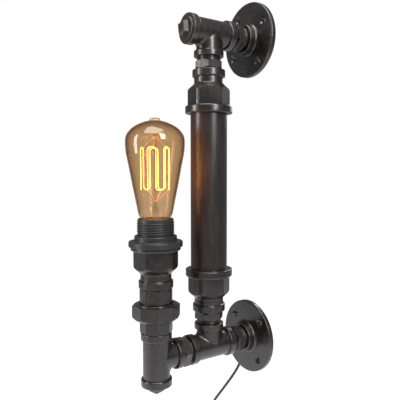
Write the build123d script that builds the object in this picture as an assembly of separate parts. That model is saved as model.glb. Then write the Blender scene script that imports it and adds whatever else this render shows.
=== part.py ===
from build123d import *
import math
import os

# Industrial pipe wall light. The wall is the plane Y = 0 and the lamp stands out towards -Y.
# The origin is the centre of the lower flange's back. +Z is up. Millimetres.

# Layout
arm_spacing = 366.0          # lower arm axis to upper arm axis
running_gap = 0.1            # between flat faces that slide or turn on each other
thread_gap = 0.1             # radial play of a screwed joint, drawn without its thread

# Small pipe thread, shared by flanges, tees, nipples, plugs and the couplings' small ends
thread_r = 13.2
thread_depth = 13.0          # depth of a tapped end
thread_spare = 1.0           # left between a male end and the bottom of its tapped end
waist_step = 1.2             # shoulder behind a tapped end
nipple_wall = 3.2

# Wall flanges
flange_r = 44.4
flange_thick = 6.0
flange_rim_round = 1.5
hub_wall = 4.3               # at the hub's end, over the thread
hub_draft = 0.8              # hub's growth in radius down to the plate
hub_height = 15.5
hub_fillet = 2.6
flange_bite = 9.5            # male thread inside the hub, short of the cord's notch
screw_circle = 66.0
screw_hole_r = 2.9
screw_sink_r = 5.0
screw_sink_depth = 1.6
screw_count = 4
lower_flange_turn = 42.0
upper_flange_turn = 33.0
notch_width = 4.2
notch_depth = 4.2

# Tees
tee_run = 30.0               # centre to run face
tee_branch = 28.2            # centre to branch face
tee_body_wall = 1.8          # walls over the thread
tee_neck_wall = 1.3
tee_band_wall = 4.0
tee_band_width = 8.6
tee_branch_band_width = 7.4
tee_crotch_fillet = 5.0

# Hexagon nipples
nipple_shoulder = 1.8        # flat of the hexagon over the thread
nipple_hex_height = 8.6
flange_to_hex = 6.6          # bare thread between hub and hexagon
hex_to_tee = 2.8             # bare thread between hexagon and rear of tee
upright_tee_to_hex = 5.0
upright_hex_to_coupling = 1.1
front_tee_to_hex = 3.6
front_hex_to_tee = 0.6

# Hexagon reducing couplings
coupling_length = 49.8
coupling_small_wall = 5.8    # over the small thread
coupling_small_width = 8.3
coupling_neck_wall = 3.8
coupling_body_wall = 3.2     # over the pipe
coupling_flat_wall = 1.0     # over the pipe, at the middle of a flat
coupling_large_wall = 6.1
coupling_large_width = 8.8
coupling_neck_length = 7.4
coupling_shoulder = 7.0
coupling_turn = 4.0
holder_coupling_turn = 10.0

# Upright pipe
pipe_r = 21.25
pipe_wall = 3.2
pipe_bite = 15.0

# Square plugs
plug_bead = 0.3              # bead's radius over the thread
plug_bead_height = 2.0
plug_flats = 13.4            # at the head's foot
plug_end_flats = 11.2
plug_head_height = 6.3
plug_wall = 4.7
plug_turn = 10.0
foot_plug_turn = -16.0

# Union
union_lower_gap = 0.5        # tee face to union
union_facet_wall = 4.9       # facets' corners over the small thread
union_lower_height = 12.5
union_thread_step = 2.3      # large thread over the facets' corners
union_seat_height = 24.0     # tee gap to seat, above the lower half's foot
union_seat_drop = 2.5
union_seat_step = 3.7        # seat's edge inside the large thread
union_play = 0.25
nut_start = 14.2             # nut's lower face above the lower half's foot
nut_height = 16.5
nut_wall = 4.1               # over the large thread, at the middle of a flat
nut_foot_bevel = 3.6
nut_top_bevel = 1.4
nut_collar_wall = 2.1        # round the lip's bore
nut_collar_height = 1.5
nut_lip_play = 0.6           # lip's bore over the facets' corners
nut_face_play = 0.35
nut_turn = -23.0
union_flange_step = 0.8      # flange inside the large thread
union_flange_height = 3.9
union_neck_step = 0.7        # neck inside the facets' corners
union_neck_height = 4.5
union_upper_height = 15.8
head_gap = 0.8               # union's upper half to holder coupling

# Shade ring
ring_skirt_play = 0.5        # over the holder coupling's large band
ring_skirt_wall = 1.7
ring_skirt_drop = 4.4
ring_plate = 1.4
ring_collar_wall = 2.75
ring_collar_height = 6.0
ring_thread_play = 0.85      # over the sleeve, room for its thread

# Lampholder
holder_seat = 23.4           # ledge in the holder coupling, above its small end
holder_play = 0.3
sleeve_gap = 1.308           # between the bulb's flare and the sleeve
sleeve_wall = 1.6
sleeve_height = 47.3
base_height = 5.0
base_cord_hole_r = 3.0
ledge_width = 1.5
ledge_height = 11.0
platform_height = 4.0
platform_play = 0.15
shell_play = 0.85            # over the cap, room for the lamp thread
shell_wall = 0.5
shell_height = 22.0
contact_r = 4.2
contact_height = 0.9
terminal_reach = 9.0
terminal_width = 5.0
terminal_height = 5.0
terminal_screw_r = 1.6

# Bulb
cap_r = 12.6
cap_wall = 0.4
cap_height = 21.2
cap_rim = 0.4
cap_cement = 0.15            # between cap and glass
button_r = 4.7
button_height = 2.0
insulator_height = 7.3
glass_wall = 0.9
flare_r = 16.692             # where the neck has opened, level with the sleeve's end
bulb_max_r = 32.1
bulb_height = 140.0
tip_r = 5.6
stem_r = 3.4
cage_foot_rise = 43.3        # glass stem's foot to the foot of the cage
press_width = 9.6
press_thick = 3.4
press_height = 9.0
rod_r = 1.4
rod_past_hub = 3.0
filament_r = 0.3
filament_strands = 10
filament_top_r = 15.7
filament_foot_r = 15.5
filament_drop = 31.5         # bulb's crown to the top of the cage
top_hub_rise = 11.0          # hub over the cage's top
foot_hub_drop = 12.2         # hub under the cage's foot
press_drop = 6.1             # press under that hub
filament_sweep = 300.0
filament_turn = 0.0          # turns the stem, hooks and filament inside the bulb

# Supply lead
cord_r = 1.7
core_r = 0.75
strand_r = 0.45
strand_length = 7.0
lead_exit = (-16.8, -40.7)    # x and z of the point where it leaves the flange's rim
lead_plane = 2.1             # lead's centre in front of the wall
lead_points = [
    (-22.0, -49.6),
    (-33.0, -64.4),
    (-52.5, -87.8),
    (-78.5, -118.0),
    (-98.0, -152.0),
    (-104.0, -190.0),
]

# Places that follow from the sizes above
thread_bore_r = thread_r + thread_gap
thread_bite = thread_depth - thread_spare
inner_bore_r = thread_r - waist_step
nipple_bore_r = thread_r - nipple_wall
hub_end_r = thread_r + hub_wall
hub_base_r = hub_end_r + hub_draft
tee_body_r = thread_r + tee_body_wall
tee_neck_r = thread_r + tee_neck_wall
tee_band_r = thread_r + tee_band_wall
nipple_flats = 2 * (thread_r + nipple_shoulder)
coupling_small_r = thread_r + coupling_small_wall
coupling_neck_r = thread_r + coupling_neck_wall
coupling_body_r = pipe_r + coupling_body_wall
coupling_body_flats = 2 * (pipe_r + coupling_flat_wall)
coupling_large_r = pipe_r + coupling_large_wall
neck_end = coupling_small_width + coupling_neck_length
union_facet_r = thread_r + union_facet_wall
union_thread_r = union_facet_r + union_thread_step
union_seat_r = union_thread_r - union_seat_step
union_flange_r = union_thread_r - union_flange_step
union_neck_r = union_facet_r - union_neck_step
nut_flats = 2 * (union_thread_r + nut_wall)
nut_lip_bore_r = union_facet_r + nut_lip_play
nut_collar_r = nut_lip_bore_r + nut_collar_wall
sleeve_r = flare_r + sleeve_gap + sleeve_wall
holder_bore_r = sleeve_r + holder_play
ring_bore_r = sleeve_r + ring_thread_play
ring_collar_r = ring_bore_r + ring_collar_wall
ring_skirt_r = coupling_large_r + ring_skirt_play + ring_skirt_wall
shell_r = cap_r + shell_play
cap_bore_r = cap_r - cap_wall
neck_r = cap_bore_r - cap_cement
upright_out = hub_height + flange_to_hex + nipple_hex_height + hex_to_tee + tee_run
lamp_offset = tee_run + front_tee_to_hex + nipple_hex_height + front_hex_to_tee + tee_branch
lamp_out = upright_out + lamp_offset
holder_floor = union_lower_gap + tee_run
nut_floor = holder_floor + nut_start
seat_level = holder_floor + union_seat_height
union_top = seat_level + union_play + union_flange_height + union_neck_height + union_upper_height
head_level = union_top + head_gap
ledge_level = head_level + holder_seat
sleeve_level = ledge_level + base_height
platform_level = sleeve_level + ledge_height
button_level = platform_level + platform_height + contact_height + running_gap
coupling_level = tee_branch + upright_tee_to_hex + nipple_hex_height + upright_hex_to_coupling
cord_top = head_level + 7.0

os.makedirs("parts", exist_ok=True)


def turned(*corners):
    # Solid of revolution about +Z from (radius, height) or (radius, height, rounding) corners.
    spots = [(c[0], c[1], c[2] if len(c) > 2 else 0) for c in corners]
    face = make_face(Polyline(*[(r, h) for r, h, _ in spots], close=True))
    for size in sorted({s for _, _, s in spots if s}):
        places = [Vector(r, h) for r, h, s in spots if s == size]
        picks = []
        for corner in face.vertices():
            if any((Vector(*corner) - place).length < 1e-3 for place in places):
                picks.append(corner)
        face = fillet(picks, size)
    return revolve(Plane.XZ * face, Axis.Z)


def rod(radius, start, end):
    return Pos(0, 0, start) * Cylinder(radius, end - start, align=(Align.CENTER, Align.CENTER, Align.MIN))


def prism(flats, sides, start, end, turn=0.0):
    # Regular prism along +Z; turn gives the angle of a corner from +X.
    corner = flats / 2 / math.cos(math.pi / sides)
    points = []
    for index in range(sides):
        angle = math.radians(turn + 360 * index / sides)
        points.append((corner * math.cos(angle), corner * math.sin(angle)))
    outline = make_face(Polyline(*points, close=True))
    return extrude(Pos(0, 0, start) * outline, end - start)


def cut_prism(flats, sides, start, end, turn=0.0, bevel=1.3):
    # The same prism with its corners turned off at both ends, as a wrench face has.
    corner = flats / 2 / math.cos(math.pi / sides)
    edge = flats / 2 + 0.25
    drop = min(bevel, (end - start) / 3)
    cone = turned(
        (0, start),
        (edge, start),
        (corner + 0.3, start + drop),
        (corner + 0.3, end - drop),
        (edge, end),
        (0, end),
    )
    return prism(flats, sides, start, end, turn) & cone


def tube_along(points, radii, radius):
    path = FilletPolyline(*points, radius=radii)
    section = Plane(origin=path @ 0, z_dir=path % 0) * Circle(radius)
    solid = sweep(section, path=path)
    return solid, path.length


def corner_radii(points, share=0.45, least=0.0):
    # The arc at each inner point is as large as its two runs allow.
    radii = []
    for before, here, after in zip(points, points[1:], points[2:]):
        first = Vector(*here) - Vector(*before)
        second = Vector(*after) - Vector(*here)
        turn = math.radians(first.get_angle(second))
        radii.append(max(least, share * min(first.length, second.length) / math.tan(turn / 2)))
    return radii


def keep(name, solid):
    export_step(solid, f"parts/{name}.step")


# Frames: an arm's local +Z runs out from the wall and its local +Y is up
lower_arm = Rot(90, 0, 0)
upper_arm = Pos(0, 0, arm_spacing) * Rot(90, 0, 0)
upright_axis = Pos(0, -upright_out, 0)
lamp_axis = Pos(0, -lamp_out, 0)
upright_flip = Pos(0, -upright_out, arm_spacing) * Rot(180, 0, 0)


# Wall flanges: drafted hub, rounded rim, tapped bore, four countersunk holes
def flange(turn):
    body = turned(
        (0, 0),
        (flange_r, 0, 0.6),
        (flange_r, flange_thick, flange_rim_round),
        (hub_base_r, flange_thick, hub_fillet),
        (hub_end_r, hub_height, 1.2),
        (0, hub_height),
    )
    body -= rod(thread_bore_r, -1, hub_height + 1)
    body -= turned(
        (0, hub_height - 1.0),
        (thread_bore_r - 0.01, hub_height - 1.0),
        (thread_bore_r + 1.2, hub_height + 0.2),
        (0, hub_height + 0.2),
    )
    hole = rod(screw_hole_r, -1, flange_thick + 1) + turned(
        (0, flange_thick - screw_sink_depth),
        (screw_hole_r, flange_thick - screw_sink_depth),
        (screw_sink_r, flange_thick),
        (screw_sink_r, flange_thick + 1),
        (0, flange_thick + 1),
    )
    for index in range(screw_count):
        spot = Rot(0, 0, turn + 360 * index / screw_count) * Pos(screw_circle / 2, 0, 0)
        body -= spot * hole
    return body


# The lower flange's back has an open notch that lets the lead out sideways
first_run = (lead_points[0][0] - lead_exit[0], lead_points[0][1] - lead_exit[1])
notch_angle = math.degrees(math.atan2(first_run[1], first_run[0]))
notch_run = (first_run[0] / math.hypot(*first_run), first_run[1] / math.hypot(*first_run))
exit_along = lead_exit[0] * notch_run[0] + lead_exit[1] * notch_run[1]
foot = (lead_exit[0] - exit_along * notch_run[0], lead_exit[1] - exit_along * notch_run[1])
notch_length = flange_r + 10
notch = Box(notch_length, notch_width, notch_depth + 1, align=(Align.MIN, Align.CENTER, Align.MIN))
notch_place = Pos(foot[0], foot[1], -1) * Rot(0, 0, notch_angle)
lower_flange = lower_arm * (flange(lower_flange_turn) - notch_place * notch)
upper_flange = upper_arm * flange(upper_flange_turn)
keep("lower_flange", lower_flange)
keep("upper_flange", upper_flange)


# Banded tees: run along Z, branch along +X, crotch filleted, three tapped ends
def band(face_height, width):
    start = face_height - width
    return turned(
        (tee_body_r - 3, start),
        (tee_band_r, start, 1.7),
        (tee_band_r, face_height, 0.9),
        (tee_body_r - 3, face_height),
    )


def tee():
    body = rod(tee_body_r, -tee_run, tee_run) + Rot(0, 90, 0) * rod(tee_neck_r, 0, tee_branch)
    crotch = []
    for edge in body.edges():
        if edge.geom_type not in (GeomType.CIRCLE, GeomType.LINE):
            crotch.append(edge)
    body = fillet(crotch, tee_crotch_fillet)
    body += band(tee_run, tee_band_width)
    body += Rot(180, 0, 0) * band(tee_run, tee_band_width)
    body += Rot(0, 90, 0) * band(tee_branch, tee_branch_band_width)
    tapped = rod(thread_bore_r, -thread_depth, 1)
    body -= rod(inner_bore_r, -tee_run, tee_run)
    body -= Rot(0, 90, 0) * rod(inner_bore_r, 0, tee_branch)
    body -= Pos(0, 0, tee_run) * tapped
    body -= Rot(180, 0, 0) * Pos(0, 0, tee_run) * tapped
    body -= Rot(0, 90, 0) * Pos(0, 0, tee_branch) * tapped
    return body


plain_tee = tee()
keep("lower_tee", lower_arm * Pos(0, 0, upright_out) * Rot(0, 0, 90) * plain_tee)
keep("upper_tee", upper_arm * Pos(0, 0, upright_out) * Rot(0, 0, -90) * plain_tee)
keep("front_tee", lamp_axis * Rot(0, 0, 90) * plain_tee)


# Hexagon nipples, given by four heights along their own axis
def hex_nipple(start, hex_start, end, turn):
    hex_end = hex_start + nipple_hex_height
    body = turned(
        (nipple_bore_r, start),
        (thread_r - 0.8, start),
        (thread_r, start + 0.8),
        (thread_r, end - 0.8),
        (thread_r - 0.8, end),
        (nipple_bore_r, end),
    )
    body += cut_prism(nipple_flats, 6, hex_start, hex_end, turn)
    body -= rod(nipple_bore_r, hex_start - 1, hex_end + 1)
    return body


rear_hex = hub_height + flange_to_hex
rear_end = upright_out - tee_run + thread_bite
keep("lower_rear_nipple", lower_arm * hex_nipple(hub_height - flange_bite, rear_hex, rear_end, 80))
keep("upper_rear_nipple", upper_arm * hex_nipple(hub_height - flange_bite, rear_hex, rear_end, 96))

front_face = upright_out + tee_run
front_hex = front_face + front_tee_to_hex
front_end = lamp_out - tee_branch + thread_bite
keep("lower_front_nipple", lower_arm * hex_nipple(front_face - thread_bite, front_hex, front_end, 66))

rise_start = tee_branch - thread_bite
rise_hex = tee_branch + upright_tee_to_hex
rise_end = coupling_level + thread_bite
rising = hex_nipple(rise_start, rise_hex, rise_end, 12)
keep("lower_upright_nipple", upright_axis * rising)
keep("upper_upright_nipple", upright_flip * Rot(0, 0, 25) * rising)


# Square-headed plugs: bead, tapered square head with broken edges, cored thread
def plug(turn):
    bead_r = thread_r + plug_bead
    body = turned(
        (0, -thread_bite),
        (thread_r - 0.8, -thread_bite),
        (thread_r, 0.8 - thread_bite),
        (thread_r, 0),
        (bead_r, 0),
        (bead_r, plug_bead_height, 0.9),
        (0, plug_bead_height),
    )
    body -= rod(thread_r - plug_wall, -thread_bite - 1, -2.5)
    draft = math.degrees(math.atan2((plug_flats - plug_end_flats) / 2, plug_head_height))
    square = Pos(0, 0, plug_bead_height - 0.3) * Rot(0, 0, turn) * Rectangle(plug_flats, plug_flats)
    head = extrude(square, plug_head_height + 0.3, taper=draft)
    head = chamfer(head.faces().sort_by(Axis.Z)[-1].edges(), 0.9)
    return body + head


keep("upper_plug", upper_arm * Pos(0, 0, front_face) * plug(plug_turn))
keep("foot_plug", lamp_axis * Pos(0, 0, -tee_run) * Rot(180, 0, 0) * plug(foot_plug_turn))


# Reducing couplings: two bands, a curved shoulder and a softened hexagon between them
def coupling(large_bore_r, seat, cone_rise, turn):
    body = turned(
        (0, 0),
        (coupling_small_r, 0, 0.9),
        (coupling_small_r, coupling_small_width, 1.2),
        (coupling_neck_r, coupling_small_width, 0.6),
        (coupling_neck_r, neck_end, 2.4),
        (coupling_body_r, neck_end + coupling_shoulder, 3.6),
        (coupling_body_r, coupling_length - 1),
        (0, coupling_length - 1),
    )
    body &= prism(coupling_body_flats, 6, 0, coupling_length, turn)
    body += turned(
        (coupling_body_r - 4, coupling_length - coupling_large_width),
        (coupling_large_r, coupling_length - coupling_large_width, 1.8),
        (coupling_large_r, coupling_length, 1.1),
        (coupling_body_r - 4, coupling_length),
    )
    waist = [(inner_bore_r, seat)]
    if cone_rise:
        waist = [(inner_bore_r, seat - cone_rise), (large_bore_r - 2.2, seat)]
    body -= turned(
        (0, -1),
        (thread_bore_r, -1),
        (thread_bore_r, thread_depth),
        (inner_bore_r, thread_depth + 1.2),
        *waist,
        (large_bore_r, seat),
        (large_bore_r, coupling_length + 1),
        (0, coupling_length + 1),
    )
    return body


pipe_bore_r = pipe_r + thread_gap
pipe_seat = coupling_length - pipe_bite - 0.2
upright_coupling = coupling(pipe_bore_r, pipe_seat, 8.0, coupling_turn)
keep("lower_coupling", upright_axis * Pos(0, 0, coupling_level) * upright_coupling)
keep("upper_coupling", upright_flip * Pos(0, 0, coupling_level) * upright_coupling)
holder_coupling = coupling(holder_bore_r, holder_seat, 0, holder_coupling_turn)
keep("holder_coupling", lamp_axis * Pos(0, 0, head_level) * holder_coupling)

# Upright pipe between the couplings
pipe_start = coupling_level + coupling_length - pipe_bite
main_pipe = turned(
    (pipe_r - pipe_wall, pipe_start),
    (pipe_r - 0.8, pipe_start),
    (pipe_r, pipe_start + 0.8),
    (pipe_r, arm_spacing - pipe_start - 0.8),
    (pipe_r - 0.8, arm_spacing - pipe_start),
    (pipe_r - pipe_wall, arm_spacing - pipe_start),
)
keep("main_pipe", upright_axis * main_pipe)

# Union: faceted lower half with the male thread and a conical seat
lower_half = cut_prism(2 * union_facet_r * math.cos(math.pi / 8), 8, holder_floor,
                       holder_floor + union_lower_height + 1.0, nut_turn, 0.8)
lower_half += turned(
    (0, holder_floor + union_lower_height),
    (union_facet_r - 1.4, holder_floor + union_lower_height),
    (union_thread_r, holder_floor + union_lower_height + 3.0),
    (union_thread_r, seat_level - 0.8),
    (union_thread_r - 0.8, seat_level),
    (0, seat_level),
)
lower_half -= turned(
    (0, holder_floor - 1),
    (thread_bore_r, holder_floor - 1),
    (thread_bore_r, holder_floor + thread_depth),
    (inner_bore_r, holder_floor + thread_depth + 1.2),
    (inner_bore_r, seat_level - union_seat_drop),
    (union_seat_r, seat_level),
    (union_seat_r, seat_level + 1),
    (0, seat_level + 1),
)
keep("union_lower_half", lamp_axis * lower_half)

# Upper half: conical nose, flange under the nut's lip, neck and facets
flange_foot = seat_level + union_play
flange_top = flange_foot + union_flange_height
facet_foot = flange_top + union_neck_height
upper_half = turned(
    (inner_bore_r, flange_foot - union_seat_drop),
    (union_seat_r, flange_foot),
    (union_flange_r, flange_foot),
    (union_flange_r, flange_top, 0.8),
    (union_neck_r, flange_top),
    (union_neck_r, union_top - 0.5),
    (inner_bore_r, union_top - 0.5),
)
upper_facets = cut_prism(2 * union_facet_r * math.cos(math.pi / 8), 8, facet_foot, union_top, nut_turn, 0.8)
upper_half += upper_facets
upper_half -= rod(inner_bore_r, facet_foot - 1, union_top + 1)
upper_half -= rod(thread_bore_r, union_top - thread_bite, union_top + 1)
keep("union_upper_half", lamp_axis * upper_half)

# Nut: octagon with turned corners, low collar, lip bore over the neck
nut_top = nut_floor + nut_height
lip_under = flange_top + nut_face_play
nut_corner_r = nut_flats / 2 / math.cos(math.pi / 8)
nut = prism(nut_flats, 8, nut_floor, nut_top, nut_turn) & turned(
    (0, nut_floor),
    (nut_corner_r - 1.1 * nut_foot_bevel, nut_floor),
    (nut_corner_r + 0.2, nut_floor + nut_foot_bevel),
    (nut_corner_r + 0.2, nut_top - nut_top_bevel),
    (nut_corner_r - 1.8 * nut_top_bevel, nut_top),
    (0, nut_top),
)
nut += turned(
    (nut_lip_bore_r, nut_top - 1),
    (nut_collar_r, nut_top - 1),
    (nut_collar_r, nut_top + nut_collar_height, 0.8),
    (nut_lip_bore_r, nut_top + nut_collar_height),
)
nut -= turned(
    (0, nut_floor - 1),
    (union_thread_r + thread_gap + 1.2, nut_floor - 1),
    (union_thread_r + thread_gap, nut_floor + 1.2),
    (union_thread_r + thread_gap, lip_under),
    (nut_lip_bore_r, lip_under),
    (nut_lip_bore_r, nut_top + nut_collar_height + 1),
    (0, nut_top + nut_collar_height + 1),
)
keep("union_nut", lamp_axis * nut)


# Close nipples hidden inside the union's ends
def close_nipple(start, end):
    return turned(
        (nipple_bore_r, start),
        (thread_r - 0.8, start),
        (thread_r, start + 0.8),
        (thread_r, end - 0.8),
        (thread_r - 0.8, end),
        (nipple_bore_r, end),
    )


keep("front_close_nipple", lamp_axis * close_nipple(tee_run - thread_bite, holder_floor + thread_bite))
keep("head_close_nipple", lamp_axis * close_nipple(union_top - thread_bite + 1, head_level + thread_bite))

# Shade ring: skirt over the coupling's band, flat plate, threaded collar
band_top = head_level + coupling_length
plate_foot = band_top + running_gap
plate_top = plate_foot + ring_plate
ring = turned(
    (ring_bore_r, plate_foot),
    (ring_skirt_r - ring_skirt_wall, plate_foot),
    (ring_skirt_r - ring_skirt_wall, band_top - ring_skirt_drop),
    (ring_skirt_r, band_top - ring_skirt_drop, 0.5),
    (ring_skirt_r, plate_top, 1.2),
    (ring_collar_r, plate_top, 0.8),
    (ring_collar_r, plate_top + ring_collar_height, 0.9),
    (ring_bore_r, plate_top + ring_collar_height),
)
keep("shade_ring", lamp_axis * ring)

# Lampholder: base on the coupling's ledge, threaded sleeve, ceramic platform, brass shell
sleeve_bore_r = sleeve_r - sleeve_wall
base = turned(
    (base_cord_hole_r, ledge_level, 0.8),
    (sleeve_r, ledge_level),
    (sleeve_r, sleeve_level),
    (base_cord_hole_r, sleeve_level),
)
keep("lampholder_base", lamp_axis * base)
sleeve = turned(
    (sleeve_bore_r - ledge_width, sleeve_level),
    (sleeve_r, sleeve_level),
    (sleeve_r, sleeve_level + sleeve_height, 0.5),
    (sleeve_bore_r, sleeve_level + sleeve_height, 0.5),
    (sleeve_bore_r, platform_level),
    (sleeve_bore_r - ledge_width, platform_level),
)
keep("lampholder_sleeve", lamp_axis * sleeve)
platform_top = platform_level + platform_height
platform = rod(sleeve_bore_r - platform_play, platform_level, platform_top)
keep("contact_platform", lamp_axis * platform)
shell = turned(
    (shell_r, platform_top),
    (shell_r + shell_wall, platform_top),
    (shell_r + shell_wall, platform_top + shell_height),
    (shell_r, platform_top + shell_height),
)
keep("screw_shell", lamp_axis * shell)
contact = turned(
    (0, platform_top),
    (contact_r, platform_top),
    (contact_r - 0.6, platform_top + contact_height),
    (0, platform_top + contact_height),
)
keep("centre_contact", lamp_axis * contact)

# Terminal blocks under the platform, each with a clamping screw and a core
terminal_foot = platform_level - terminal_height
for name, side in (("live", 1), ("neutral", -1)):
    block = Pos(side * terminal_reach, 0, terminal_foot) * Box(
        terminal_width, terminal_width, terminal_height, align=(Align.CENTER, Align.CENTER, Align.MIN)
    )
    keep(f"{name}_terminal", lamp_axis * block)
    screw_axis = Pos(side * (terminal_reach + terminal_width / 2), 0, platform_level - terminal_height / 2)
    head = screw_axis * Rot(0, 90 * side, 0) * rod(terminal_screw_r, 0, 1.4)
    slot_axis = screw_axis * Pos(side * 1.2, 0, 0)
    head -= slot_axis * Box(0.8, 4, 0.6)
    keep(f"{name}_terminal_screw", lamp_axis * head)
    core_points = [
        (side * (core_r + 0.05), 0, cord_top + running_gap),
        (side * (core_r + 0.05), 0, sleeve_level + 0.8),
        (side * terminal_reach, 0, sleeve_level + 3.2),
        (side * terminal_reach, 0, terminal_foot),
    ]
    core, _ = tube_along(core_points, [2.6, 2.2], core_r)
    keep(f"{name}_core", lamp_axis * core)

# Bulb: contact button, insulator, screw cap
button = turned(
    (0, button_level),
    (button_r, button_level, 0.7),
    (button_r, button_level + button_height),
    (0, button_level + button_height),
)
keep("bulb_contact", lamp_axis * button)
insulator_top = button_level + insulator_height
cap_foot = insulator_top - 1.6
insulator = turned(
    (0, button_level + button_height + running_gap),
    (button_r + thread_gap, button_level + button_height + running_gap),
    (button_r + thread_gap, button_level + 1.4),
    (button_r + 1.2, button_level + 1.4, 0.4),
    (cap_bore_r - 0.1, cap_foot),
    (cap_bore_r - 0.1, insulator_top),
    (0, insulator_top),
)
keep("cap_insulator", lamp_axis * insulator)
cap_top = cap_foot + cap_height
cap = turned(
    (cap_bore_r, cap_foot),
    (cap_r, cap_foot),
    (cap_r, cap_top - 1.2),
    (cap_r + cap_rim, cap_top - 0.5),
    (cap_r + cap_rim, cap_top),
    (cap_bore_r, cap_top),
)
keep("bulb_cap", lamp_axis * cap)

# Pear-shaped glass: neck inside the cap, long flare, full crown, exhaust tip
crown = button_level + bulb_height
stretch = (crown - cap_top) / 113.1


def wall_point(share, drop):
    # A point of the outer wall: its share of the largest radius, its drop below the crown.
    return (share * bulb_max_r, crown - drop * stretch)


flank = [
    (neck_r + 0.05, cap_top + 0.4),
    (flare_r, crown - 107.6 * stretch),
    wall_point(0.592, 101.0),
    wall_point(0.671, 88.4),
    wall_point(0.787, 69.5),
    wall_point(0.906, 49.0),
    wall_point(0.989, 34.0),
    wall_point(1.0, 26.6),
]
dome = [
    wall_point(1.0, 26.6),
    wall_point(0.969, 19.2),
    wall_point(0.884, 14.7),
    wall_point(0.749, 10.4),
    wall_point(0.525, 6.3),
    wall_point(0.270, 3.4),
    (0, crown - 2.3 * stretch),
]
glass_foot = cap_top - 8.0
neck_lean = (0.45, 1)


def smooth(points, tangents):
    # Spline whose parameter is the distance along its points.
    marks = [0.0]
    for before, after in zip(points, points[1:]):
        marks.append(marks[-1] + math.hypot(after[0] - before[0], after[1] - before[1]))
    spots = [Vector(*point) for point in points]
    return Edge.make_spline(spots, [Vector(*t) for t in tangents], parameters=marks, scale=False)


def inward(curve, wall, count):
    # Points of the same curve moved in by the wall, square to its direction.
    moved = []
    for step in range(count + 1):
        spot = curve @ (step / count)
        along = (curve % (step / count)).normalized()
        moved.append((max(spot.X - wall * along.Y, 0), spot.Y + wall * along.X))
    return moved


def pear_solid(side, top, foot_r, foot_height):
    lower = side @ 0
    upper = top @ 1
    inside = Polyline((0, upper.Y), (0, foot_height), (foot_r, foot_height), (lower.X, lower.Y))
    return revolve(Plane.XZ * make_face([side, top, inside]), Axis.Z)


side_curve = smooth(flank, [neck_lean, (0, 1)])
top_curve = smooth(dome, [(0, 1), (-1, 0)])
inner_side = smooth(inward(side_curve, glass_wall, 8), [neck_lean, (0, 1)])
inner_top = smooth(inward(top_curve, glass_wall, 7), [(0, 1), (-1, 0)])
outer_skin = pear_solid(side_curve, top_curve, neck_r, glass_foot)
inner_skin = pear_solid(inner_side, inner_top, neck_r - glass_wall, glass_foot - 1)
tip = turned(
    (0, crown - 3.0),
    (tip_r + 0.4, crown - 3.0),
    (tip_r - 0.3, crown, 2.0),
    (0, crown),
)
keep("bulb_glass", lamp_axis * (outer_skin - inner_skin + tip))

# Glass stem with its pressed end and the rod that carries the filament's hooks
stem_foot = glass_foot + 0.3
top_level = crown - filament_drop
foot_level = stem_foot + cage_foot_rise
press_top = foot_level - foot_hub_drop - press_drop
press_foot = press_top - press_height
rod_top = top_level + top_hub_rise + rod_past_hub
stem = turned(
    (0, stem_foot),
    (neck_r - glass_wall - 0.1, stem_foot),
    (neck_r - glass_wall - 0.1, stem_foot + 0.8),
    (stem_r, stem_foot + 7.0, 2.5),
    (stem_r, press_foot + 1.0),
    (0, press_foot + 1.0),
)
press = Box(press_width, press_thick, press_height, align=(Align.CENTER, Align.CENTER, Align.MIN))
stem += Pos(0, 0, press_foot) * press
stem += rod(rod_r, press_top - 1, rod_top)
stem += Pos(0, 0, rod_top) * Sphere(rod_r * 1.3)
inner_frame = lamp_axis * Rot(0, 0, filament_turn)
keep("glass_stem", inner_frame * stem)

# Squirrel-cage filament: one continuous wire, up and down round the rod
spoke_r = 0.22
wire_points = []
turns_top = []
turns_foot = []
for index in range(filament_strands):
    angle = math.radians(90 - filament_sweep / 2 + filament_sweep * index / (filament_strands - 1))
    high = (filament_top_r * math.cos(angle), filament_top_r * math.sin(angle), top_level)
    low = (filament_foot_r * math.cos(angle), filament_foot_r * math.sin(angle), foot_level)
    pair = [low, high] if index % 2 == 0 else [high, low]
    wire_points += pair
for index in range(1, len(wire_points) - 2, 2):
    first, second = wire_points[index], wire_points[index + 1]
    middle = tuple((a + b) / 2 for a, b in zip(first, second))
    (turns_top if index % 4 == 1 else turns_foot).append(middle)
wire_radii = corner_radii(wire_points, 0.42)
filament, filament_length = tube_along(wire_points, wire_radii, filament_r)
keep("filament", inner_frame * filament)


def spokes(places, level, rise):
    # A small collar on the rod with one fine hook to each turn of the wire.
    body = Pos(0, 0, level + rise) * Cylinder(rod_r + 0.9, 1.6)
    body -= Pos(0, 0, level + rise) * Cylinder(rod_r + 0.05, 4)
    for place in places:
        reach = math.hypot(place[0], place[1])
        turn = math.degrees(math.atan2(place[1], place[0]))
        end = reach - filament_r - 0.15
        start = rod_r + 0.5
        lean = math.degrees(math.atan2(rise, end - start))
        span = math.hypot(rise, end - start)
        arm = Rot(0, 0, turn) * Pos(end, 0, level) * Rot(0, -90 + lean, 0) * rod(spoke_r, 0, span)
        body += arm
    return body


keep("upper_hooks", inner_frame * spokes(turns_top, top_level, top_hub_rise))
keep("lower_hooks", inner_frame * spokes(turns_foot, foot_level, -foot_hub_drop))

# Two lead wires from the press to the ends of the filament
for name, end, side in (("left", wire_points[-1], -1), ("right", wire_points[0], 1)):
    reach = math.hypot(end[0], end[1])
    wire = [
        (side * press_width / 3, 0, press_top),
        (side * press_width / 2.7, 0, press_top + 3),
        (end[0] * 0.8, end[1] * 0.8, foot_level - 5),
        (end[0], end[1], foot_level - 0.4),
    ]
    lead_wire, _ = tube_along(wire, corner_radii(wire, 0.4), 0.3)
    keep(f"{name}_lead_wire", inner_frame * lead_wire)

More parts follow.
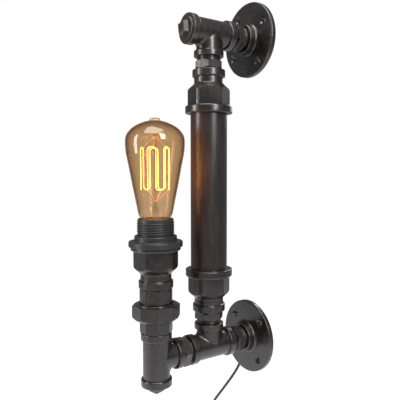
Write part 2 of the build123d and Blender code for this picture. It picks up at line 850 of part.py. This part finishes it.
# Supply cord inside the fitting, from the lampholder to the notch
inside_points = [
    (0, -lamp_out, cord_top),
    (0, -lamp_out, 0),
    (foot[0], -lead_plane, foot[1]),
    (lead_exit[0], -lead_plane, lead_exit[1]),
]
inside_radii = [17.0, 14.0]
inside_cord, inside_length = tube_along(inside_points, inside_radii, cord_r)
keep("supply_cord", inside_cord)

# Free lead along the wall and its two stripped cores
free_points = [(lead_exit[0], -lead_plane, lead_exit[1])]
free_points += [(x, -lead_plane, z) for x, z in lead_points]
free_radii = corner_radii(free_points)
free_lead, free_length = tube_along(free_points, free_radii, cord_r)
keep("free_lead", free_lead)
last = Vector(*free_points[-1])
heading = (last - Vector(*free_points[-2])).normalized()
aside = heading.cross(Vector(0, 1, 0)).normalized()
for name, side in (("live", 1), ("neutral", -1)):
    start = last + aside * (side * (core_r + 0.05))
    bend = start + heading * 7
    end = start + heading * 22 + aside * (side * 4.0)
    core, _ = tube_along([start, bend, end], [12.0], core_r)
    keep(f"lead_{name}_core", core)
    along = (end - bend).normalized()
    tip_plane = Plane(origin=end, z_dir=along)
    keep(f"lead_{name}_tip", tip_plane * rod(strand_r, 0, strand_length))

print("free lead radii", [round(r, 1) for r in free_radii])
print("free lead length", round(free_length, 2))
print("free lead volume ratio", round(free_lead.volume / (math.pi * cord_r ** 2 * free_length), 5))
print("inside cord length", round(inside_length, 2), "radii", inside_radii)
print("inside cord volume ratio", round(inside_cord.volume / (math.pi * cord_r ** 2 * inside_length), 5))
print("filament length", round(filament_length, 1))
print("levels", round(head_level, 2), round(ledge_level, 2), round(button_level, 2), round(crown, 2))
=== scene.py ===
import math
import bpy
from mathutils import Matrix, Vector


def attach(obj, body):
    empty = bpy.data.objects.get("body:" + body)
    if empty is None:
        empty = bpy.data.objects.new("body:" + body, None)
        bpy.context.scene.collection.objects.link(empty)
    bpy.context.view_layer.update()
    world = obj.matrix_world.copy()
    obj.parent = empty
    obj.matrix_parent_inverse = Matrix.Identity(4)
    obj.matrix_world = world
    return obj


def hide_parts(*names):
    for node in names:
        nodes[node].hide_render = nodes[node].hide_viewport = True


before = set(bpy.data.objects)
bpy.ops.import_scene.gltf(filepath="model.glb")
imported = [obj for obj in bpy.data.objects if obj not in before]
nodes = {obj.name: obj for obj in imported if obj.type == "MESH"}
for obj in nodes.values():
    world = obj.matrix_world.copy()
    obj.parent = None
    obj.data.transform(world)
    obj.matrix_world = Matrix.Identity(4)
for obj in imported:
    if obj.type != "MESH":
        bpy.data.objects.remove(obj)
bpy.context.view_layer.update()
print("stage: frame loaded", len(nodes), "nodes")


# Shader maths as expressions
class Wire:
    def __init__(self, tree, socket):
        self.tree = tree
        self.socket = socket

    def maths(self, operation, first, second):
        return self.tree.add("ShaderNodeMath", {"operation": operation}, {0: first, 1: second})

    def __add__(self, other):
        return self.maths("ADD", self, other)

    def __radd__(self, other):
        return self.maths("ADD", other, self)

    def __sub__(self, other):
        return self.maths("SUBTRACT", self, other)

    def __rsub__(self, other):
        return self.maths("SUBTRACT", other, self)

    def __mul__(self, other):
        return self.maths("MULTIPLY", self, other)

    def __rmul__(self, other):
        return self.maths("MULTIPLY", other, self)

    def __pow__(self, other):
        return self.maths("POWER", self, other)


class Tree:
    def __init__(self, name, nodeTree=None):
        if nodeTree is None:
            self.material = bpy.data.materials.new(name)
            self.material.use_nodes = True
            nodeTree = self.material.node_tree
        self.nodeTree = nodeTree
        self.nodeTree.nodes.clear()

    def add(self, kind, settings=None, sockets=None, output=0):
        node = self.nodeTree.nodes.new(kind)
        for key, value in (settings or {}).items():
            setattr(node, key, value)
        for key, value in (sockets or {}).items():
            if isinstance(value, Wire):
                self.nodeTree.links.new(value.socket, node.inputs[key])
            elif value is not None:
                node.inputs[key].default_value = value
        return Wire(self, node.outputs[output])

    def place(self):
        return self.add("ShaderNodeTexCoord", output="Object")

    def noise(self, scale, detail, roughness=0.55, where=None):
        return self.add("ShaderNodeTexNoise", {}, {
            "Vector": where or self.place(), "Scale": scale, "Detail": detail, "Roughness": roughness,
        })

    def fade(self, factor, low, high):
        return self.add("ShaderNodeMapRange", {"clamp": True}, {
            "Value": factor, "From Min": low, "From Max": high, "To Min": 0.0, "To Max": 1.0,
        })

    def blend(self, factor, first, second):
        return self.add("ShaderNodeMix", {"data_type": "RGBA"}, {
            "Factor": factor, 6: first, 7: second,
        }, 2)

    def bump(self, height, distance, normal=None):
        return self.add("ShaderNodeBump", {}, {
            "Height": height, "Distance": distance, "Strength": 1.0, "Normal": normal,
        })

    def edges(self, radius):
        # White on edges sharper than the radius, black on open faces
        soft = self.add("ShaderNodeBevel", {"samples": 4}, {"Radius": radius})
        flat = self.add("ShaderNodeNewGeometry", output="Normal")
        facing = self.add("ShaderNodeVectorMath", {"operation": "DOT_PRODUCT"}, {0: soft, 1: flat}, "Value")
        return self.fade(1 - facing, 0.02, 0.22)

    def surface(self, shader):
        output = self.nodeTree.nodes.new("ShaderNodeOutputMaterial")
        self.nodeTree.links.new(shader.socket, output.inputs["Surface"])
        return self.material

    def principled(self, **sockets):
        return self.add("ShaderNodeBsdfPrincipled", {}, sockets)


def rgba(colour):
    return (*colour, 1.0)


def dress(material, *names):
    for name in names:
        for slot in nodes[name].material_slots:
            slot.material = material


# Black lacquered cast iron of the fittings: lumpy casting skin, rubbed edges, a clear gloss over it
castIron = {
    "deep": (0.0056, 0.0044, 0.004), "warm": (0.0135, 0.0095, 0.0078), "worn": (0.13, 0.12, 0.125),
    "roughness": 0.34, "lumps": 0.00016, "grain": 0.00005, "coat": 0.35, "coatRoughness": 0.16,
}


def makeCastIron(name, spec):
    tree = Tree(name)
    broad = tree.noise(38.0, 3.0)
    lumps = tree.noise(210.0, 3.0, 0.5)
    fine = tree.noise(1100.0, 3.0, 0.6)
    edge = tree.edges(0.0008)
    tone = tree.blend(tree.fade(broad * 0.6 + lumps * 0.4, 0.42, 0.62), rgba(spec["deep"]), rgba(spec["warm"]))
    tone = tree.blend(edge * 0.6 * tree.fade(fine, 0.3, 0.6), tone, rgba(spec["worn"]))
    rough = spec["roughness"] + (broad - 0.5) * 0.25 + (lumps - 0.5) * 0.2 - edge * 0.05
    skin = tree.bump(lumps, spec["lumps"])
    shader = tree.principled(**{
        "Base Color": tone, "Roughness": rough, "Metallic": 0.0, "Specular IOR Level": 0.5,
        "Coat Weight": spec["coat"] + (lumps - 0.5) * 0.3, "Coat Roughness": spec["coatRoughness"],
        "Normal": tree.bump(fine, spec["grain"], skin), "Coat Normal": skin,
    })
    return tree.surface(shader)


blackIron = makeCastIron("blackIron", castIron)

# Drawn pipe: the same lacquer on a smoother wall with faint length-wise streaks
pipeFinish = {
    "deep": (0.0095, 0.0082, 0.0082), "warm": (0.0195, 0.015, 0.0132), "roughness": 0.3, "grain": 0.00003,
    "specular": 0.5,
}


def makePipe(name, spec):
    tree = Tree(name)
    where = tree.place()
    stretched = tree.add("ShaderNodeMapping", {}, {"Vector": where, "Scale": (1.0, 1.0, 0.12)})
    streak = tree.noise(210.0, 4.0, 0.6, where=stretched)
    broad = tree.noise(30.0, 3.0)
    tone = tree.blend(tree.fade(streak * 0.6 + broad * 0.4, 0.4, 0.62), rgba(spec["deep"]), rgba(spec["warm"]))
    rough = spec["roughness"] + (streak - 0.5) * 0.2
    grain = tree.noise(1300.0, 2.0)
    shader = tree.principled(**{
        "Base Color": tone, "Roughness": rough, "Metallic": 0.0, "Specular IOR Level": spec["specular"],
        "Normal": tree.bump(grain * 0.5 + streak, spec["grain"]),
    })
    return tree.surface(shader)


blackPipe = makePipe("blackPipe", pipeFinish)


def makePlain(name, colour, roughness, metallic=0.0, specular=0.5, grainScale=700.0, grain=0.00002, shift=0.06):
    tree = Tree(name)
    speckle = tree.noise(grainScale, 3.0)
    darker = tuple(channel * 0.8 for channel in colour)
    tone = tree.blend(tree.fade(speckle, 0.35, 0.65), rgba(darker), rgba(colour))
    shader = tree.principled(**{
        "Base Color": tone, "Roughness": roughness + (speckle - 0.5) * shift, "Metallic": metallic,
        "Specular IOR Level": specular, "Normal": tree.bump(speckle, grain),
    })
    return tree.surface(shader)


phenolic = makePlain("phenolic", (0.017, 0.0165, 0.0165), 0.42, 0.0, 0.45)
ceramic = makePlain("glazedCeramic", (0.78, 0.76, 0.7), 0.2, 0.0, 0.5, 300.0)
brass = makePlain("brass", (0.66, 0.5, 0.24), 0.28, 1.0)
wireSteel = makePlain("wireSteel", (0.5, 0.47, 0.42), 0.3, 1.0)
solder = makePlain("solder", (0.58, 0.57, 0.55), 0.38, 1.0)
vitrite = makePlain("vitrite", (0.02, 0.02, 0.025), 0.15)
sheath = makePlain("cordSheath", (0.012, 0.012, 0.012), 0.5, 0.0, 0.4, 500.0)
liveJacket = makePlain("liveJacket", (0.16, 0.07, 0.03), 0.45)
neutralJacket = makePlain("neutralJacket", (0.02, 0.08, 0.3), 0.45)
copper = makePlain("copper", (0.8, 0.42, 0.26), 0.3, 1.0)

# Amber glass of the bulb: tinted see-through, deeper where the wall turns away, a thin gloss, and a painted
# glow: emission that paints the filament's light low in the neck and faintly round the cage
amberGlass = {
    "through": (0.83, 0.735, 0.61), "rim": (0.42, 0.28, 0.17), "rimPower": 2.6, "gloss": 0.03,
    "least": 0.03, "most": 0.28, "glow": (1.0, 0.5, 0.14), "paintedGlowStrength": 1.0,
    "neck": (0.163, 0.1525), "neckPaintedGlow": 0.16,
    "cageFoot": (0.176, 0.205), "cageTop": (0.256, 0.224), "cageFacing": (0.55, 0.0), "cagePaintedGlow": 0.004,
}


def makeGlass(name, spec):
    tree = Tree(name)
    facing = tree.add("ShaderNodeLayerWeight", {}, {"Blend": 0.5}, "Facing")
    clear = tree.add("ShaderNodeBsdfTransparent", {}, {"Color": rgba(spec["through"])})
    smoke = tree.add("ShaderNodeBsdfTransparent", {}, {"Color": rgba(spec["rim"])})
    body = tree.add("ShaderNodeMixShader", {}, {0: facing ** spec["rimPower"], 1: clear, 2: smoke})
    # Painted glow: emission on the glass stands in for the filament's light caught in the neck and round the cage
    if spec["paintedGlowStrength"]:
        height = tree.add("ShaderNodeSeparateXYZ", {}, {0: tree.place()}, "Z")
        neck = tree.fade(height, *spec["neck"])
        cage = tree.fade(height, *spec["cageFoot"]) * tree.fade(height, *spec["cageTop"])
        cage = cage * tree.fade(facing, *spec["cageFacing"])
        # Colour and strength of the painted glow on the glass
        paintedGlow = tree.add("ShaderNodeEmission", {}, {"Color": rgba(spec["glow"]), "Strength": spec["paintedGlowStrength"]})
        paintedGlowShare = neck * neck * spec["neckPaintedGlow"] + cage * spec["cagePaintedGlow"]
        body = tree.add("ShaderNodeMixShader", {}, {0: paintedGlowShare, 1: body, 2: paintedGlow})
    gloss = tree.add("ShaderNodeBsdfGlossy", {}, {"Color": rgba((1.0, 1.0, 1.0)), "Roughness": spec["gloss"]})
    sheen = spec["least"] + (spec["most"] - spec["least"]) * facing ** 4.0
    shader = tree.add("ShaderNodeMixShader", {}, {0: sheen, 1: body, 2: gloss})
    return tree.surface(shader)


amber = makeGlass("amberGlass", amberGlass)
stemGlass = makeGlass("stemGlass", {
    "through": (0.93, 0.89, 0.83), "rim": (0.55, 0.46, 0.38), "rimPower": 2.0, "gloss": 0.05,
    "least": 0.04, "most": 0.4, "paintedGlowStrength": 0.0,
})

filamentGlow = {"colour": (1.0, 0.5, 0.1), "strength": 11.0}


def makeFilament(name, spec):
    tree = Tree(name)
    return tree.surface(tree.principled(**{
        "Base Color": rgba((0.2, 0.1, 0.05)), "Roughness": 0.5,
        "Emission Color": rgba(spec["colour"]), "Emission Strength": spec["strength"],
    }))


glow = makeFilament("filamentGlow", filamentGlow)
# Painted glow: a faint orange emission on the support hooks stands in for the filament's light on them
paintedGlowWire = makeFilament("paintedGlowWire", {"colour": (1.0, 0.5, 0.14), "strength": 0.9})

dress(blackIron, "lower_flange", "upper_flange", "lower_tee", "upper_tee", "front_tee", "lower_coupling",
      "upper_coupling", "holder_coupling", "lower_rear_nipple", "upper_rear_nipple", "lower_upright_nipple",
      "upper_upright_nipple", "lower_front_nipple", "upper_plug", "foot_plug", "front_close_nipple",
      "head_close_nipple", "union_lower_half", "union_upper_half", "union_nut")
dress(blackPipe, "main_pipe")
dress(phenolic, "shade_ring", "lampholder_base", "lampholder_sleeve")
dress(ceramic, "contact_platform")
dress(brass, "screw_shell", "centre_contact", "live_terminal", "neutral_terminal", "bulb_cap")
dress(wireSteel, "live_terminal_screw", "neutral_terminal_screw", "left_lead_wire", "right_lead_wire")
# The hooks carry the painted glow of the filament's light
dress(paintedGlowWire, "upper_hooks", "lower_hooks")
dress(solder, "bulb_contact")
dress(vitrite, "cap_insulator")
dress(amber, "bulb_glass")
dress(stemGlass, "glass_stem")
dress(glow, "filament")
dress(sheath, "supply_cord")
dress(liveJacket, "live_core", "lead_live_core")
dress(neutralJacket, "neutral_core", "lead_neutral_core")
dress(copper, "lead_live_tip", "lead_neutral_tip")
print("stage: materials")

# Where things stand, in metres
lampOut = 0.1345
uprightOut = 0.0635
armRise = 0.366


def newPiece(name, points, faces, material, body, smooth=True):
    mesh = bpy.data.meshes.new(name)
    mesh.from_pydata(points, [], faces)
    mesh.validate()
    mesh.update()
    for polygon in mesh.polygons:
        polygon.use_smooth = smooth
    piece = bpy.data.objects.new(name, mesh)
    bpy.context.scene.collection.objects.link(piece)
    piece.data.materials.append(material)
    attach(piece, body)
    return piece


def frameOf(base, direction):
    return Matrix.Translation(Vector(base)) @ Vector(direction).to_track_quat("Z", "Y").to_matrix().to_4x4()


# Helical thread ridges that stand on a plain screwed cylinder
ridgeShape = {"stepsPerTurn": 40, "foot": 0.46, "crest": 0.16, "sink": 0.00012, "fadeTurns": 0.35, "least": 0.02}


def threadRidge(name, spec, base, direction, start, end, material, body):
    radius, rise, pitch = spec["radius"], spec["rise"], spec["pitch"]
    place = frameOf(base, direction)
    turns = (end - start - pitch) / pitch
    steps = max(8, int(turns * ridgeShape["stepsPerTurn"]))
    half = pitch * ridgeShape["foot"]
    points = []
    faces = []
    for step in range(steps + 1):
        along = step / steps
        angle = 2 * math.pi * turns * along
        middle = start + pitch / 2 + turns * pitch * along
        swell = min(1.0, along * turns / ridgeShape["fadeTurns"], (1 - along) * turns / ridgeShape["fadeTurns"])
        high = radius + rise * max(swell, ridgeShape["least"])
        low = radius - ridgeShape["sink"]
        crest = pitch * ridgeShape["crest"]
        for reach, height in ((low, -half), (high, -crest), (high, crest), (low, half)):
            points.append(place @ Vector((reach * math.cos(angle), reach * math.sin(angle), middle + height)))
    for step in range(steps):
        first = step * 4
        for side in range(4):
            after = (side + 1) % 4
            faces.append((first + side, first + after, first + 4 + after, first + 4 + side))
    faces.append((3, 2, 1, 0))
    last = steps * 4
    faces.append((last, last + 1, last + 2, last + 3))
    return newPiece(name, [tuple(point) for point in points], faces, material, body)


pipeThread = {"radius": 0.0132, "rise": 0.00055, "pitch": 0.001814}
necks = {
    "lowerHubThread": ((0, 0, 0), (0, -1, 0), 0.0155, 0.0221),
    "lowerRearThread": ((0, 0, 0), (0, -1, 0), 0.0307, 0.0335),
    "upperHubThread": ((0, 0, armRise), (0, -1, 0), 0.0155, 0.0221),
    "upperRearThread": ((0, 0, armRise), (0, -1, 0), 0.0307, 0.0335),
    "lowerFrontThread": ((0, 0, 0), (0, -1, 0), 0.0935, 0.0971),
    "lowerUprightThread": ((0, -uprightOut, 0), (0, 0, 1), 0.0282, 0.0332),
    "upperUprightThread": ((0, -uprightOut, armRise), (0, 0, -1), 0.0282, 0.0332),
}
for name, (base, direction, start, end) in necks.items():
    threadRidge(name, pipeThread, base, direction, start, end, blackIron, "root")

# The sleeve's ridge stays inside the shade ring's bore, which passes over it
sleeveThread = {"radius": 0.0196, "rise": 0.00076, "pitch": 0.0027}
threadRidge("sleeveThread", sleeveThread, (0, -lampOut, 0), (0, 0, 1), 0.1372, 0.1542,
            phenolic, "lamp_head")
capThread = {"radius": 0.0126, "rise": 0.00055, "pitch": 0.00363}
threadRidge("capThread", capThread, (0, -lampOut, 0), (0, 0, 1), 0.1312, 0.1486, brass, "bulb")
print("stage: threads")

# Supply lead that leaves by the notch behind the lower flange
freeLead = {
    "route": [
        (-0.0168, -0.0407), (-0.0220, -0.0496), (-0.0330, -0.0644), (-0.0525, -0.0878),
        (-0.0785, -0.1180), (-0.0980, -0.1520), (-0.1040, -0.1900),
    ],
    "plane": -0.0021, "diameter": 0.0034, "length": 0.176,
}


def makeLead(spec):
    curve = bpy.data.curves.new("freeLead", "CURVE")
    curve.dimensions = "3D"
    spline = curve.splines.new("NURBS")
    spline.points.add(len(spec["route"]) - 1)
    for point, (x, z) in zip(spline.points, spec["route"]):
        point.co = (x, spec["plane"], z, 1.0)
    spline.order_u = 3
    spline.use_endpoint_u = True
    spline.resolution_u = 12
    curve.bevel_depth = spec["diameter"] / 2
    curve.bevel_resolution = 6
    curve.use_fill_caps = True
    lead = bpy.data.objects.new("freeLead", curve)
    bpy.context.scene.collection.objects.link(lead)
    lead.data.materials.append(sheath)
    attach(lead, "root")
    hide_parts("free_lead")
    x, z = spec["route"][0]


makeLead(freeLead)
print("stage: lead")

# Camera fitted to the photograph's axes and rims
photoView = {
    "place": (0.4745, -0.3974, 0.2072), "yaw": 54.08, "pitch": -3.366, "roll": 0.02,
    "lens": 44.595, "shiftX": -0.039, "shiftY": 0.0002,
}
cameraData = bpy.data.cameras.new("photoCamera")
cameraData.sensor_width = 36.0
cameraData.lens = photoView["lens"]
cameraData.shift_x = photoView["shiftX"]
cameraData.shift_y = photoView["shiftY"]
cameraData.clip_start = 0.01
camera = bpy.data.objects.new("photoCamera", cameraData)
bpy.context.scene.collection.objects.link(camera)
camera.matrix_world = (
    Matrix.Translation(Vector(photoView["place"]))
    @ Matrix.Rotation(math.radians(photoView["yaw"]), 4, "Z")
    @ Matrix.Rotation(math.radians(90 + photoView["pitch"]), 4, "X")
    @ Matrix.Rotation(math.radians(photoView["roll"]), 4, "Z")
)
bpy.context.scene.camera = camera

# Pale floor and plain studio light
floorShape = {"size": 12.0, "height": -0.30, "colour": (0.93, 0.93, 0.93), "white": 1.2, "seenShare": 0.8}


def makeFloor(spec):
    half = spec["size"] / 2
    mesh = bpy.data.meshes.new("floor")
    mesh.from_pydata([(-half, -half, 0), (half, -half, 0), (half, half, 0), (-half, half, 0)], [], [(0, 1, 2, 3)])
    floor = bpy.data.objects.new("floor", mesh)
    floor.location = (0, 0, spec["height"])
    bpy.context.scene.collection.objects.link(floor)
    tree = Tree("floorPaint")
    rays = tree.add("ShaderNodeLightPath", output="Is Camera Ray")
    paint = tree.add("ShaderNodeBsdfDiffuse", {}, {"Color": rgba(spec["colour"])})
    white = tree.add("ShaderNodeEmission", {}, {"Color": rgba((1.0, 1.0, 1.0)), "Strength": spec["white"]})
    floor.data.materials.append(tree.surface(tree.add("ShaderNodeMixShader", {}, {
        0: rays * spec["seenShare"], 1: paint, 2: white,
    })))


makeFloor(floorShape)

studio = {"ambient": 0.22}
world = bpy.data.worlds.new("studio")
bpy.context.scene.world = world
world.use_nodes = True
sky = Tree("studio", world.node_tree)
seen = sky.add("ShaderNodeLightPath", output="Is Camera Ray")
passed = sky.add("ShaderNodeLightPath", output="Is Transmission Ray")
dim = sky.add("ShaderNodeBackground", {}, {"Color": rgba((0.96, 0.97, 1.0)), "Strength": studio["ambient"]})
white = sky.add("ShaderNodeBackground", {}, {"Color": rgba((1.0, 1.0, 1.0)), "Strength": 1.0})
backdrop = sky.add("ShaderNodeMixShader", {}, {0: seen.maths("MAXIMUM", seen, passed), 1: dim, 2: white})
skyOutput = world.node_tree.nodes.new("ShaderNodeOutputWorld")
world.node_tree.links.new(backdrop.socket, skyOutput.inputs["Surface"])

lampAim = (0, -0.08, 0.16)
lamps = {
    "keyPanel": {"place": (1.0, -0.1, 0.8), "size": (0.35, 0.9), "power": 16.0, "colour": (0.98, 0.98, 1.0)},
    "leftPanel": {"place": (-0.35, -1.2, 0.4), "size": (0.25, 0.9), "power": 9.0, "colour": (1.0, 0.98, 0.98)},
    "topPanel": {"place": (0.15, -0.3, 1.1), "size": (0.7, 0.7), "power": 12.0, "colour": (0.97, 0.97, 1.0)},
    "rearPanel": {"place": (-0.4, 0.9, 0.7), "size": (0.4, 0.6), "power": 5.0, "colour": (0.97, 0.98, 1.0)},
}
for name, lamp in lamps.items():
    data = bpy.data.lights.new(name, "AREA")
    data.shape = "RECTANGLE"
    data.size, data.size_y = lamp["size"]
    data.energy = lamp["power"]
    data.color = lamp["colour"]
    panel = bpy.data.objects.new(name, data)
    aim = Vector(lampAim) - Vector(lamp["place"])
    panel.matrix_world = frameOf(lamp["place"], -aim)
    bpy.context.scene.collection.objects.link(panel)

# The filament's light on the pipe, which is not itself seen
filamentLight = {"power": 1.3, "colour": (1.0, 0.42, 0.14), "radius": 0.014, "height": 0.21}
glowData = bpy.data.lights.new("filamentLight", "POINT")
glowData.energy = filamentLight["power"]
glowData.color = filamentLight["colour"]
glowData.shadow_soft_size = filamentLight["radius"]
glowLamp = bpy.data.objects.new("filamentLight", glowData)
glowLamp.location = (0, -lampOut, filamentLight["height"])
glowLamp.visible_camera = False
glowLamp.visible_glossy = False
glowLamp.visible_transmission = False
bpy.context.scene.collection.objects.link(glowLamp)
bpy.context.scene.view_settings.view_transform = "Standard"
print("stage: camera, floor and lamps")
